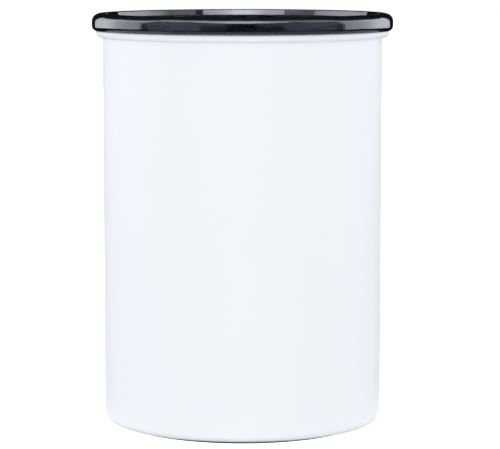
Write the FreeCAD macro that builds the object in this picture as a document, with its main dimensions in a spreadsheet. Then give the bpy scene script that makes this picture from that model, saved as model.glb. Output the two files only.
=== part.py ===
"""Coffee canister with a press-down plunger lid and a valve that its handle opens.

A painted steel can with a curled rim and a welded base pan, a tinted lid that lifts off, and inside the can a
plunger that is pushed down onto the coffee. The plunger carries a lip seal, a folding handle on an axle and, under
it, a sprung valve: raising the handle turns a cam that pushes the valve stem down and lets air through.

Millimetres, +Z up, origin on the table at the middle of the foot. The can's axis is Z, and the handle folds to -Y.
"""

import FreeCAD, Part
import math
import os
from types import SimpleNamespace

import Sketcher

Vector = FreeCAD.Vector

# Driving dimensions, in millimetres. Every piece takes its sizes and its place from these.
SIZES = {
    # Can: outside diameter, sheet, height of the rim, the rim's outward curl, the turned-in foot
    "can_diameter": 120.6,
    "can_wall": 0.6,
    "rim_height": 170.1,
    "curl_reach": 2.9,
    "curl_side": 0.15,
    "curl_gap": 0.3,
    "curl_tuck": 0.6,
    "foot_corner": 3.0,
    "foot_width": 2.5,
    # Base pan: sheet, room to the can, upturned edge, flat rim, raised panel and the bends of its step
    "pan_sheet": 0.7,
    "pan_fit": 0.05,
    "pan_flange": 1.0,
    "pan_rim": 6.3,
    "pan_rise": 2.0,
    "pan_bend": 1.6,
    # Lid: how far it stands above the rim, its outside wall, thicknesses, recess, shaped edges, clearances
    "lid_rise": 6.4,
    "lid_cover": 7.35,
    "lid_wall": 2.0,
    "lid_skirt": 1.6,
    "lid_recess": 6.4,
    "lid_crown": 3.4,
    "lid_lip": 2.5,
    "lid_bevel": 2.4,
    "lid_shoulder": 0.5,
    "lid_root": 1.5,
    "lid_plug_corner": 1.0,
    "lid_channel_round": 1.0,
    "lid_rib": 1.2,
    "lid_seat_gap": 0.15,
    "lid_skirt_gap": 0.2,
    "lid_plug_gap": 0.3,
    "lid_headroom": 0.8,
    # Plunger dish: depth, walls, flanges, ribs underneath, posts that the folded handle lies on
    "dish_depth": 12.0,
    "dish_wall": 2.2,
    "dish_floor": 2.4,
    "dish_root": 2.0,
    "flange_sheet": 2.0,
    "flange_gap": 0.9,
    "flange_edge": 0.6,
    "rib_width": 1.6,
    "rib_depth": 4.0,
    "rib_inset": 3.0,
    "post_diameter": 5.0,
    "post_offset": 16.0,
    "post_gap": 0.2,
    # Lip seal: depth of its groove, room in the groove, its base, its two lips
    "seal_depth": 6.6,
    "seal_fit": 0.1,
    "seal_base": 4.0,
    "seal_gap": 0.25,
    "lip_margin": 1.2,
    "lip_pitch": 4.2,
    "lip_root": 1.7,
    "lip_sweep": 1.5,
    "lip_tip": 0.7,
    # Valve housing in the middle of the dish
    "chamber_depth": 4.0,
    "hub_floor": 4.0,
    "hub_wall": 2.8,
    "skirt_wall": 1.4,
    "skirt_depth": 3.0,
    "ledge_width": 3.4,
    "pocket_depth": 2.2,
    "pocket_gap": 0.5,
    "vent_diameter": 3.6,
    "vent_margin": 1.0,
    "seat_width": 1.2,
    "seat_height": 0.8,
    # Vent cover over the housing, and its screws
    "cover_sheet": 1.6,
    "cover_width": 11.4,
    "cover_fit": 0.2,
    "slot_width": 1.8,
    "slot_margin": 1.4,
    "screw_diameter": 2.0,
    "screw_fit": 0.15,
    "screw_length": 5.0,
    "screw_head": 3.2,
    "screw_head_height": 1.3,
    "screw_socket": 1.2,
    "screw_socket_depth": 0.7,
    # Valve: stem and its head, travel, spring, sealing disc, washer, clip
    "stem_diameter": 4.0,
    "stem_fit": 0.1,
    "stem_step": 0.4,
    "stem_tail": 1.2,
    "stem_chamfer": 0.4,
    "head_diameter": 10.0,
    "head_thickness": 2.2,
    "head_rise": 0.8,
    "head_gap": 0.6,
    "head_edge": 0.6,
    "valve_travel": 2.5,
    "spring_diameter": 8.6,
    "spring_wire": 0.7,
    "spring_gap": 0.05,
    "disc_gap": 0.05,
    "disc_thickness": 1.8,
    "disc_overlap": 1.4,
    "disc_edge": 0.5,
    "washer_thickness": 1.0,
    "washer_overhang": 6.4,
    "washer_edge": 0.3,
    "clip_sheet": 0.7,
    "clip_depth": 0.5,
    "clip_width": 2.2,
    "clip_mouth": 1.9,
    # Guard below the valve
    "guard_gap": 1.2,
    "guard_sheet": 1.6,
    "guard_wall": 1.6,
    "guard_fit": 0.1,
    "guard_corner": 2.0,
    "guard_hub": 4.0,
    "guard_slot": 2.0,
    "guard_window": 5.0,
    "guard_band": 1.2,
    # Hinge: axle, bushes, ears on the dish, cam
    "axle_diameter": 3.5,
    "axle_fit": 0.05,
    "axle_chamfer": 0.4,
    "axle_inset": 0.5,
    "bush_wall": 1.1,
    "bush_fit": 0.02,
    "bush_flange": 0.6,
    "bush_rim": 1.0,
    "ear_clear": 2.8,
    "ear_thickness": 4.0,
    "ear_wall": 1.6,
    "ear_foot": 3.0,
    "cam_gap": 0.2,
    "cam_wall": 1.85,
    "cam_width": 8.0,
    # Handle: arms, eyes, grip and rounded edges
    "arm_gap": 0.4,
    "arm_width": 7.0,
    "eye_wall": 2.15,
    "eye_fit": 0.02,
    "handle_reach": 31.0,
    "handle_thickness": 5.2,
    "handle_corner": 14.0,
    "handle_round": 1.8,
    "grip_width": 8.0,
    # How far every cut runs past the face that it goes through
    "cut_overrun": 1.0,
}

RIB_COUNT = 8
VENT_COUNT = 6
SCREW_COUNT = 3
COVER_SLOT_COUNT = 12
GUARD_SLOT_COUNT = 8
SPRING_TURNS = 4
ARCS_PER_TURN = 4
CAM_POINT_COUNT = 36
FULL_TURN = 2 * math.pi
HANDLE_SWING = FULL_TURN / 4
# How steeply the pan's step and the bevel inside the lid's edge rise.
PAN_SLOPE = math.radians(34)
BEVEL_SLOPE = math.radians(65)
# How far the round under the lid's edge turns before it meets the level end of the skirt.
LIP_TURN = math.radians(62)
# The cam's working curve runs past both ends of the handle's swing by this share of the swing.
CAM_LEAD_SHARE = 0.12

Z_DIRECTION = Vector(0, 0, 1)

doc = FreeCAD.newDocument("coffee_canister")
sheet = doc.addObject("Spreadsheet::Sheet", "Sizes")
for row, (alias, value) in enumerate(SIZES.items(), start=1):
    sheet.set(f"A{row}", alias)
    sheet.set(f"B{row}", str(value))
    sheet.setAlias(f"B{row}", alias)
doc.recompute()


class Length:
    """A size that carries its number and the expression on the sheet's cells that gives it."""

    def __init__(self, number, expression):
        self.number = number
        self.expression = expression

    def __add__(self, other):
        other = as_length(other)
        return Length(self.number + other.number, f"({self.expression} + {other.expression})")

    def __sub__(self, other):
        other = as_length(other)
        return Length(self.number - other.number, f"({self.expression} - {other.expression})")

    def __neg__(self):
        return Length(-self.number, f"(0 - {self.expression})")

    def __rmul__(self, factor):
        return Length(factor * self.number, f"({factor} * {self.expression})")

    def __truediv__(self, divisor):
        return Length(self.number / divisor, f"({self.expression} / {divisor})")


def as_length(value):
    """Zero, or a length as it is."""
    return value if isinstance(value, Length) else Length(float(value), str(value))


size = SimpleNamespace(**{alias: Length(float(sheet.get(alias)), f"Sizes.{alias}") for alias in SIZES})

# Can and pan: radii of wall, curl and foot, and the heights where the curl's arcs meet
size.can_radius = size.can_diameter / 2
size.bore_radius = size.can_radius - size.can_wall
size.curl_radius = size.can_radius + size.curl_reach
size.curl_top_round = (size.curl_radius - size.bore_radius) / 2
size.curl_low_round = size.curl_reach - size.curl_gap - size.curl_tuck
size.curl_middle = size.bore_radius + size.curl_top_round
size.curl_shoulder = size.rim_height - size.curl_top_round
size.curl_waist = size.curl_shoulder - size.curl_side
size.curl_floor = size.curl_waist - size.curl_low_round
size.foot_radius = size.can_radius - size.foot_corner

# Lid: heights count from the crown of the curled rim
size.lid_panel = size.lid_rise - size.lid_recess
size.lid_underside = size.lid_panel - size.lid_wall

# Dish and seal: from here on heights count from the top of the dish floor
size.flange_radius = size.bore_radius - size.flange_gap
size.groove_radius = size.flange_radius - size.seal_depth
size.groove_top = size.dish_depth - size.flange_sheet
size.dish_radius = size.groove_radius - size.dish_wall

# Valve housing, from the stem outward and from the floor down
size.stem_radius = size.stem_diameter / 2
size.pin_radius = size.stem_radius - size.stem_step
size.head_radius = size.head_diameter / 2
size.head_top = size.head_rise + size.head_thickness
size.vent_radius = size.vent_diameter / 2
size.pocket_radius = size.spring_diameter / 2 + size.pocket_gap
size.vent_circle = size.pocket_radius + size.vent_margin + size.vent_radius
size.seat_inner = size.vent_circle + size.vent_radius + size.vent_margin
size.seat_outer = size.seat_inner + size.seat_width
size.cover_hole = size.head_radius + size.head_gap
size.cover_radius = size.cover_hole + size.cover_width
size.well_radius = size.cover_radius + size.cover_fit
size.chamber_radius = size.well_radius - size.ledge_width
size.screw_circle = (size.chamber_radius + size.cover_radius) / 2
size.hub_radius = size.well_radius + size.hub_wall
size.hub_bottom = -(size.chamber_depth + size.hub_floor)
size.skirt_bottom = size.hub_bottom - size.skirt_depth
size.pocket_floor = -(size.chamber_depth + size.pocket_depth)
size.seat_face = size.hub_bottom - size.seat_height
size.disc_top = size.seat_face - size.disc_gap
size.disc_bottom = size.disc_top - size.disc_thickness
size.washer_bottom = size.disc_bottom - size.washer_thickness
size.clip_bottom = size.washer_bottom - size.clip_sheet
size.clip_root = size.pin_radius - size.clip_depth
size.clip_radius = size.clip_root + size.clip_width
size.stem_end = size.clip_bottom - size.stem_tail

# Hinge and handle: distances from the middle of the axle
size.axle_radius = size.axle_diameter / 2
size.bush_inner = size.axle_radius + size.axle_fit
size.bush_outer = size.bush_inner + size.bush_wall
size.ear_bore = size.bush_outer + size.bush_fit
size.ear_radius = size.ear_bore + size.ear_wall
size.ear_inner = size.well_radius + size.ear_clear
size.ear_outer = size.ear_inner + size.ear_thickness
size.bush_face = size.ear_outer + size.bush_flange
size.arm_inner = size.bush_face + size.arm_gap
size.arm_outer = size.arm_inner + size.arm_width
size.cam_base = size.axle_radius + size.cam_wall
size.hinge_height = size.head_top + size.cam_gap + size.cam_base

# Heights above the table: the raised handle just clears the closed lid
size.lid_clearance_level = size.rim_height + size.lid_underside - size.lid_headroom
size.hinge_level = size.lid_clearance_level - size.handle_reach
size.plunger_level = size.hinge_level - size.hinge_height


# Sketches and features


def new_body(name, level=0):
    """An empty body that stands at a height above the table."""
    body = doc.addObject("PartDesign::Body", name)
    body.Label = name
    body.setExpression("Placement.Base.z", as_length(level).expression)
    return body


def origin_feature(body, role):
    """One of the body's own planes or axes."""
    return next(feature for feature in body.Origin.OriginFeatures if feature.Role == role)


def new_sketch(body, plane, offset):
    """An empty sketch on one of the body's planes, moved along the plane's normal."""
    sketch = body.newObject("Sketcher::SketchObject", body.Name + "_sketch")
    sketch.AttachmentSupport = (origin_feature(body, plane), [""])
    sketch.MapMode = "FlatFace"
    sketch.setExpression("AttachmentOffset.Base.z", as_length(offset).expression)
    return sketch


def hold(sketch, name, length, kind, *geometry):
    """Adds a dimension to a sketch and binds it to a size."""
    index = sketch.addConstraint(Sketcher.Constraint(kind, *geometry, length.number))
    sketch.renameConstraint(index, name)
    sketch.setExpression(f"Constraints.{name}", length.expression)


def arc_between(start, end, radius, turn):
    """The shorter arc from start to end that turns left or right."""
    chord = end - start
    left = Vector(-chord.y, chord.x, 0).normalize()
    side = 1 if turn == "left" else -1
    centre = (start + end) / 2 + left * side * math.sqrt(max(radius**2 - (chord.Length / 2) ** 2, 0))
    ends = (start, end) if turn == "left" else (end, start)
    first, last = [math.atan2(point.y - centre.y, point.x - centre.x) for point in ends]
    sweep = (last - first) % FULL_TURN
    return Part.ArcOfCircle(Part.Circle(centre, Z_DIRECTION, radius), first, first + sweep)


def outline(body, plane, corners, offset=0):
    """A closed sketch. A corner is (x, y), or (x, y, radius, turn) where an arc leads on to the next corner."""
    sketch = new_sketch(body, plane, offset)
    corners = [(as_length(corner[0]), as_length(corner[1]), *corner[2:]) for corner in corners]
    points = [Vector(corner[0].number, corner[1].number, 0) for corner in corners]
    following = points[1:] + points[:1]
    ends = []
    for corner, start, end in zip(corners, points, following):
        if len(corner) > 2:
            radius, turn = corner[2:]
            sketch.addGeometry(arc_between(start, end, radius.number, turn), False)
            ends.append((1, 2) if turn == "left" else (2, 1))
        else:
            sketch.addGeometry(Part.LineSegment(start, end), False)
            ends.append((1, 2))
    for index in range(len(corners)):
        before = (index or len(corners)) - 1
        sketch.addConstraint(Sketcher.Constraint("Coincident", before, ends[before][1], index, ends[index][0]))
    for index, corner in enumerate(corners):
        hold(sketch, f"corner{index}_x", corner[0], "DistanceX", index, ends[index][0])
        hold(sketch, f"corner{index}_y", corner[1], "DistanceY", index, ends[index][0])
        if len(corner) > 2:
            hold(sketch, f"corner{index}_radius", corner[2], "Radius", index)
    return sketch


def rectangle(body, plane, left, right, bottom, top, offset=0):
    """A sketch of one rectangle."""
    return outline(body, plane, [(left, bottom), (right, bottom), (right, top), (left, top)], offset)


def circle(body, plane, x, y, radius, offset=0):
    """A sketch of one circle."""
    sketch = new_sketch(body, plane, offset)
    x, y = as_length(x), as_length(y)
    sketch.addGeometry(Part.Circle(Vector(x.number, y.number, 0), Z_DIRECTION, radius.number), False)
    hold(sketch, "centre_x", x, "DistanceX", 0, 3)
    hold(sketch, "centre_y", y, "DistanceY", 0, 3)
    hold(sketch, "radius", radius, "Radius", 0)
    return sketch


def revolve(body, corners):
    """Turns an outline of (radius, height) corners about the body's Z axis."""
    feature = body.newObject("PartDesign::Revolution", body.Name + "_turned")
    sketch = outline(body, "XZ_Plane", corners)
    feature.Profile = sketch
    feature.ReferenceAxis = (sketch, ["V_Axis"])
    feature.Angle = math.degrees(FULL_TURN)
    doc.recompute()
    return feature


def raise_sketch(body, kind, sketch, length, midplane, downward):
    """A Pad or Pocket from a sketch."""
    feature = body.newObject(kind, body.Name + "_feature")
    feature.Profile = sketch
    feature.setExpression("Length", length.expression)
    feature.Midplane = midplane
    feature.Reversed = downward
    doc.recompute()
    return feature


def pad(body, sketch, length, midplane=False, downward=False):
    """Raises a sketch into material, along the plane's normal unless told otherwise."""
    return raise_sketch(body, "PartDesign::Pad", sketch, length, midplane, downward)


def pocket(body, sketch, length, midplane=False):
    """Cuts a sketch into the body along the plane's normal, and stops if that cuts nothing."""
    before = body.Shape.Volume
    feature = raise_sketch(body, "PartDesign::Pocket", sketch, length, midplane, True)
    if body.Shape.Volume >= before:
        raise RuntimeError(f"a pocket in {body.Label} cuts nothing")
    return feature


def repeat_round(body, feature, count):
    """Repeats a feature evenly about the Z axis."""
    pattern = body.newObject("PartDesign::PolarPattern", body.Name + "_round")
    pattern.Originals = [feature]
    pattern.Axis = (origin_feature(body, "Z_Axis"), [""])
    pattern.Angle = math.degrees(FULL_TURN)
    pattern.Occurrences = count
    body.Tip = pattern
    doc.recompute()


def repeat_across(body, feature):
    """Repeats a feature on the other side of the middle plane."""
    mirrored = body.newObject("PartDesign::Mirrored", body.Name + "_across")
    mirrored.Originals = [feature]
    mirrored.MirrorPlane = (origin_feature(body, "YZ_Plane"), [""])
    body.Tip = mirrored
    doc.recompute()


def round_edges(body, feature, radius, wanted):
    """Fillets those edges of a feature that the test picks."""
    names = [f"Edge{index}" for index, edge in enumerate(feature.Shape.Edges, start=1) if wanted(edge)]
    fillet = body.newObject("PartDesign::Fillet", body.Name + "_fillet")
    fillet.Base = (feature, names)
    fillet.setExpression("Radius", radius.expression)
    doc.recompute()


def plain_feature(name, shape, level=0):
    """A sub-part whose shape is worked out here, standing at a height above the table."""
    feature = doc.addObject("Part::Feature", name)
    feature.Label = name
    feature.Shape = shape
    feature.Placement = FreeCAD.Placement(Vector(0, 0, as_length(level).number), FreeCAD.Rotation())
    return feature


# Can and lid


def bend_reach(radius, slope):
    """How far a round between a level face and a slope reaches: along the level, then across and up the slope."""
    level = math.tan(slope / 2) * radius
    return level, math.cos(slope) * level, math.sin(slope) * level


def make_canister_shell():
    """Steel wall with its rim curled outward and its foot turned in."""
    body = new_body("canister_shell")
    inner_top_round = size.curl_top_round - size.can_wall
    inner_low_round = size.curl_low_round - size.can_wall
    curl_inner = size.curl_radius - size.can_wall
    curl_end = size.can_radius + size.curl_gap
    curl_turn = curl_end + size.curl_tuck
    foot_inner = size.foot_radius - size.foot_width
    revolve(body, [
        (foot_inner, 0),
        (size.foot_radius, 0, size.foot_corner, "left"),
        (size.can_radius, size.foot_corner),
        (size.can_radius, size.curl_shoulder, inner_top_round, "right"),
        (size.curl_middle, size.rim_height - size.can_wall, inner_top_round, "right"),
        (curl_inner, size.curl_shoulder),
        (curl_inner, size.curl_waist, inner_low_round, "right"),
        (curl_turn, size.curl_floor + size.can_wall),
        (curl_end, size.curl_floor + size.can_wall),
        (curl_end, size.curl_floor),
        (curl_turn, size.curl_floor, size.curl_low_round, "left"),
        (size.curl_radius, size.curl_waist),
        (size.curl_radius, size.curl_shoulder, size.curl_top_round, "left"),
        (size.curl_middle, size.rim_height, size.curl_top_round, "left"),
        (size.bore_radius, size.curl_shoulder),
        (size.bore_radius, size.foot_corner, size.foot_corner - size.can_wall, "right"),
        (size.foot_radius, size.can_wall),
        (foot_inner, size.can_wall),
    ])
    return body


def make_base_pan():
    """Stamped floor of the can: its upturned edge stands in the turned-in foot, and its middle is raised."""
    body = new_body("base_pan")
    outer = size.bore_radius - size.pan_fit
    inner = outer - size.pan_sheet
    bottom = size.can_wall + size.pan_fit
    top = bottom + size.pan_sheet
    edge = size.foot_corner + size.pan_flange
    corner = size.foot_corner - bottom
    step_radius = size.foot_radius - size.pan_rim
    panel_radius = step_radius - size.pan_rise / math.tan(PAN_SLOPE)
    panel_bottom = bottom + size.pan_rise
    panel_top = top + size.pan_rise
    level, across, up = bend_reach(size.pan_bend, PAN_SLOPE)
    revolve(body, [
        (0, panel_bottom),
        (panel_radius - level, panel_bottom, size.pan_bend, "right"),
        (panel_radius + across, panel_bottom - up),
        (step_radius - across, bottom + up, size.pan_bend, "left"),
        (step_radius + level, bottom),
        (size.foot_radius, bottom, corner, "left"),
        (outer, size.foot_corner),
        (outer, edge),
        (inner, edge),
        (inner, size.foot_corner, corner - size.pan_sheet, "right"),
        (size.foot_radius, top),
        (step_radius + level, top, size.pan_bend, "right"),
        (step_radius - across, top + up),
        (panel_radius + across, panel_top - up, size.pan_bend, "left"),
        (panel_radius - level, panel_top),
        (0, panel_top),
    ])
    return body


def make_outer_lid():
    """Tinted lid: a channel over the curled rim, a rib that sits on the curl, and a sunk middle with a bevel."""
    body = new_body("outer_lid", size.rim_height)
    plug = size.bore_radius - size.lid_plug_gap
    recess = plug - size.lid_wall
    rib_inner = size.curl_middle - size.lid_rib / 2
    rib_outer = rib_inner + size.lid_rib
    skirt = size.curl_radius + size.lid_skirt_gap
    outer = skirt + size.lid_skirt
    ceiling = size.lid_rise - size.lid_wall
    edge = size.lid_rise - size.lid_cover
    lip_width = (1 - math.cos(LIP_TURN)) * size.lid_lip
    lip_rise = math.sin(LIP_TURN) * size.lid_lip
    bevel_top = recess + size.lid_bevel / math.tan(BEVEL_SLOPE)
    level, across, up = bend_reach(size.lid_shoulder, BEVEL_SLOPE)
    revolve(body, [
        (0, size.lid_underside),
        (plug - size.lid_plug_corner, size.lid_underside, size.lid_plug_corner, "left"),
        (plug, size.lid_underside + size.lid_plug_corner),
        (plug, ceiling),
        (rib_inner, ceiling),
        (rib_inner, size.lid_seat_gap),
        (rib_outer, size.lid_seat_gap),
        (rib_outer, ceiling),
        (skirt - size.lid_channel_round, ceiling, size.lid_channel_round, "right"),
        (skirt, ceiling - size.lid_channel_round),
        (skirt, edge),
        (outer - lip_width, edge, size.lid_lip, "left"),
        (outer, edge + lip_rise),
        (outer, size.lid_rise - size.lid_crown, size.lid_crown, "left"),
        (outer - size.lid_crown, size.lid_rise),
        (bevel_top + level, size.lid_rise, size.lid_shoulder, "left"),
        (bevel_top - across, size.lid_rise - up),
        (recess, size.lid_rise - size.lid_bevel),
        (recess, size.lid_panel + size.lid_root, size.lid_root, "right"),
        (recess - size.lid_root, size.lid_panel),
        (0, size.lid_panel),
    ])
    return body


# Plunger


def make_plunger_dish():
    """Moulded dish with a groove for the seal, the valve housing below it and the hinge ears above."""
    body = new_body("plunger_dish", size.plunger_level)
    guide = size.stem_radius + size.stem_fit
    skirt_inner = size.hub_radius - size.skirt_wall
    revolve(body, [
        (guide, size.hub_bottom),
        (size.seat_inner, size.hub_bottom),
        (size.seat_inner, size.seat_face),
        (size.seat_outer, size.seat_face),
        (size.seat_outer, size.hub_bottom),
        (skirt_inner, size.hub_bottom),
        (skirt_inner, size.skirt_bottom),
        (size.hub_radius, size.skirt_bottom),
        (size.hub_radius, -size.dish_floor),
        (size.flange_radius - size.flange_edge, -size.dish_floor, size.flange_edge, "left"),
        (size.flange_radius, size.flange_edge - size.dish_floor),
        (size.flange_radius, 0),
        (size.groove_radius, 0),
        (size.groove_radius, size.groove_top),
        (size.flange_radius, size.groove_top),
        (size.flange_radius, size.dish_depth - size.flange_edge, size.flange_edge, "left"),
        (size.flange_radius - size.flange_edge, size.dish_depth),
        (size.dish_radius + size.flange_edge, size.dish_depth, size.flange_edge, "left"),
        (size.dish_radius, size.dish_depth - size.flange_edge),
        (size.dish_radius, size.dish_root, size.dish_root, "right"),
        (size.dish_radius - size.dish_root, 0),
        (size.well_radius, 0),
        (size.well_radius, -size.cover_sheet),
        (size.chamber_radius, -size.cover_sheet),
        (size.chamber_radius, -size.chamber_depth),
        (size.pocket_radius, -size.chamber_depth),
        (size.pocket_radius, size.pocket_floor),
        (guide, size.pocket_floor),
    ])
    add_dish_ribs(body)
    add_hinge_ears(body)
    post_y = size.grip_width / 2 - size.handle_reach
    post = circle(body, "XY_Plane", size.post_offset, post_y, size.post_diameter / 2)
    repeat_across(body, pad(body, post, size.hinge_height - size.handle_thickness / 2 - size.post_gap))
    below = size.hub_bottom - size.cut_overrun
    vent = circle(body, "XY_Plane", size.vent_circle, 0, size.vent_radius, below)
    repeat_round(body, pocket(body, vent, size.hub_floor + 2 * size.cut_overrun), VENT_COUNT)
    hole = circle(body, "XY_Plane", 0, size.screw_circle, size.screw_diameter / 2, -size.screw_length)
    repeat_round(body, pocket(body, hole, size.screw_length + size.cut_overrun), SCREW_COUNT)
    return body


def add_dish_ribs(body):
    """Ribs under the dish, from the housing out towards the groove."""
    inner = size.hub_radius - size.skirt_wall / 2
    outer = size.groove_radius - size.rib_inset
    half = size.rib_width / 2
    rib = rectangle(body, "XY_Plane", inner, outer, -half, half, -size.dish_floor)
    repeat_round(body, pad(body, rib, size.rib_depth, downward=True), RIB_COUNT)


def add_hinge_ears(body):
    """Two ears that stand on the dish floor, bored for the bushes of the axle."""
    foot = size.ear_radius + size.ear_foot
    top = size.hinge_height + size.ear_radius
    ear = outline(body, "YZ_Plane", [
        (-foot, 0),
        (foot, 0, size.ear_foot, "right"),
        (size.ear_radius, size.ear_foot),
        (size.ear_radius, size.hinge_height, size.ear_radius, "left"),
        (0, top, size.ear_radius, "left"),
        (-size.ear_radius, size.hinge_height),
        (-size.ear_radius, size.ear_foot, size.ear_foot, "right"),
    ], size.ear_inner)
    repeat_across(body, pad(body, ear, size.ear_thickness))
    bore = circle(body, "YZ_Plane", 0, size.hinge_height, size.ear_bore)
    pocket(body, bore, 2 * (size.ear_outer + size.cut_overrun), midplane=True)


def make_wiper_seal():
    """Silicone ring in the dish's groove, with two lips that sweep up towards the wall of the can."""
    body = new_body("wiper_seal", size.plunger_level)
    inner = size.groove_radius + size.seal_fit
    base = inner + size.seal_base
    tip = size.bore_radius - size.seal_gap
    low_root = size.seal_fit + size.lip_margin
    lips = []
    for root in (low_root, low_root + size.lip_pitch):
        lips.append((base, root))
        lips.append((tip, root + size.lip_sweep))
        lips.append((tip, root + size.lip_sweep + size.lip_tip))
        lips.append((base, root + size.lip_root))
    top = size.groove_top - size.seal_fit
    revolve(body, [(inner, size.seal_fit), (base, size.seal_fit), *lips, (base, top), (inner, top)])
    return body


def make_vent_cover():
    """Slotted disc that closes the valve housing, flush with the dish floor, round the head of the stem."""
    body = new_body("vent_cover", size.plunger_level)
    below = -size.cover_sheet - size.cut_overrun
    through = size.cover_sheet + 2 * size.cut_overrun
    revolve(body, [
        (size.cover_hole, -size.cover_sheet),
        (size.cover_radius, -size.cover_sheet),
        (size.cover_radius, 0),
        (size.cover_hole, 0),
    ])
    slot_inner = size.cover_hole + size.slot_margin
    slot_outer = size.chamber_radius - size.slot_margin
    half = size.slot_width / 2
    slot = rectangle(body, "XY_Plane", slot_inner, slot_outer, -half, half, below)
    repeat_round(body, pocket(body, slot, through), COVER_SLOT_COUNT)
    hole_radius = size.screw_diameter / 2 + size.screw_fit
    hole = circle(body, "XY_Plane", 0, size.screw_circle, hole_radius, below)
    repeat_round(body, pocket(body, hole, through), SCREW_COUNT)
    return body


def make_cover_screws():
    """Round-headed screws that hold the vent cover on its ledge."""
    screw = new_body("cover_screw", size.plunger_level)
    shank = size.screw_diameter / 2
    head = size.screw_head / 2
    socket = size.screw_socket / 2
    round_off = size.screw_head_height / 2
    socket_floor = size.screw_head_height - size.screw_socket_depth
    revolve(screw, [
        (0, -size.screw_length),
        (shank, -size.screw_length),
        (shank, 0),
        (head, 0),
        (head, round_off, round_off, "left"),
        (head - round_off, size.screw_head_height),
        (socket, size.screw_head_height),
        (socket, socket_floor),
        (0, socket_floor),
    ])
    screw.setExpression("Placement.Base.y", size.screw_circle.expression)
    doc.recompute()
    turns = [math.degrees(FULL_TURN) * index / SCREW_COUNT for index in range(SCREW_COUNT)]
    shapes = [screw.Shape.rotated(Vector(), Z_DIRECTION, turn) for turn in turns]
    return plain_feature("cover_screws", Part.makeCompound(shapes))


def make_valve_guard():
    """Slotted cup under the housing that keeps the beans off the valve."""
    body = new_body("valve_guard", size.plunger_level)
    outer = size.hub_radius - size.skirt_wall - size.guard_fit
    inner = outer - size.guard_wall
    floor = size.stem_end - size.valve_travel - size.guard_gap
    bottom = floor - size.guard_sheet
    revolve(body, [
        (0, bottom),
        (outer - size.guard_corner, bottom, size.guard_corner, "left"),
        (outer, bottom + size.guard_corner),
        (outer, size.hub_bottom),
        (inner, size.hub_bottom),
        (inner, floor),
        (0, floor),
    ])
    half = size.guard_slot / 2
    slot = rectangle(
        body, "XY_Plane", size.guard_hub, inner - size.guard_corner, -half, half, bottom - size.cut_overrun
    )
    repeat_round(body, pocket(body, slot, size.guard_sheet + 2 * size.cut_overrun), GUARD_SLOT_COUNT)
    half = size.guard_window / 2
    window = rectangle(
        body, "YZ_Plane", -half, half, floor + size.guard_band, size.skirt_bottom - size.guard_band,
        inner - size.cut_overrun,
    )
    repeat_round(body, pocket(body, window, size.guard_wall + 2 * size.cut_overrun), GUARD_SLOT_COUNT)
    return body


def make_axle_bushes():
    """Flanged bushes in the two ears."""
    bush = new_body("axle_bush")
    rim = size.bush_outer + size.bush_rim
    revolve(bush, [
        (size.bush_inner, size.ear_inner),
        (size.bush_outer, size.ear_inner),
        (size.bush_outer, size.ear_outer),
        (rim, size.ear_outer),
        (rim, size.bush_face),
        (size.bush_inner, size.bush_face),
    ])
    lying = bush.Shape.rotated(Vector(), Vector(0, 1, 0), math.degrees(FULL_TURN / 4))
    opposite = lying.mirror(Vector(), Vector(1, 0, 0))
    return plain_feature("axle_bushes", Part.makeCompound([lying, opposite]), size.hinge_level)


# Valve


def make_valve_stem():
    """Push rod: a head under the cam, a guided shank, and a thinner end that holds disc, washer and clip."""
    body = new_body("valve_stem", size.plunger_level)
    revolve(body, [
        (0, size.stem_end),
        (size.pin_radius - size.stem_chamfer, size.stem_end),
        (size.pin_radius, size.stem_end + size.stem_chamfer),
        (size.pin_radius, size.clip_bottom),
        (size.clip_root, size.clip_bottom),
        (size.clip_root, size.washer_bottom),
        (size.pin_radius, size.washer_bottom),
        (size.pin_radius, size.disc_top),
        (size.stem_radius, size.disc_top),
        (size.stem_radius, size.head_rise),
        (size.head_radius, size.head_rise),
        (size.head_radius, size.head_top - size.head_edge, size.head_edge, "left"),
        (size.head_radius - size.head_edge, size.head_top),
        (0, size.head_top),
    ])
    return body


def make_valve_disc():
    """Silicone disc that closes the vents from below."""
    body = new_body("valve_disc", size.plunger_level)
    outer = size.seat_outer + size.disc_overlap
    revolve(body, [
        (size.pin_radius, size.disc_bottom),
        (outer - size.disc_edge, size.disc_bottom, size.disc_edge, "left"),
        (outer, size.disc_bottom + size.disc_edge),
        (outer, size.disc_top - size.disc_edge, size.disc_edge, "left"),
        (outer - size.disc_edge, size.disc_top),
        (size.pin_radius, size.disc_top),
    ])
    return body


def make_disc_washer():
    """Steel washer that backs the silicone disc."""
    body = new_body("disc_washer", size.plunger_level)
    outer = size.pin_radius + size.washer_overhang
    revolve(body, [
        (size.pin_radius, size.washer_bottom),
        (outer - size.washer_edge, size.washer_bottom, size.washer_edge, "left"),
        (outer, size.washer_bottom + size.washer_edge),
        (outer, size.disc_bottom),
        (size.pin_radius, size.disc_bottom),
    ])
    return body


def make_stem_clip():
    """Open ring snapped into the groove of the stem."""
    body = new_body("stem_clip", size.plunger_level)
    revolve(body, [
        (size.clip_root, size.clip_bottom),
        (size.clip_radius, size.clip_bottom),
        (size.clip_radius, size.washer_bottom),
        (size.clip_root, size.washer_bottom),
    ])
    half = size.clip_mouth / 2
    mouth = rectangle(
        body, "XY_Plane", 0, size.clip_radius + size.cut_overrun, -half, half, size.clip_bottom - size.cut_overrun
    )
    pocket(body, mouth, size.clip_sheet + 2 * size.cut_overrun)
    return body


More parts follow.
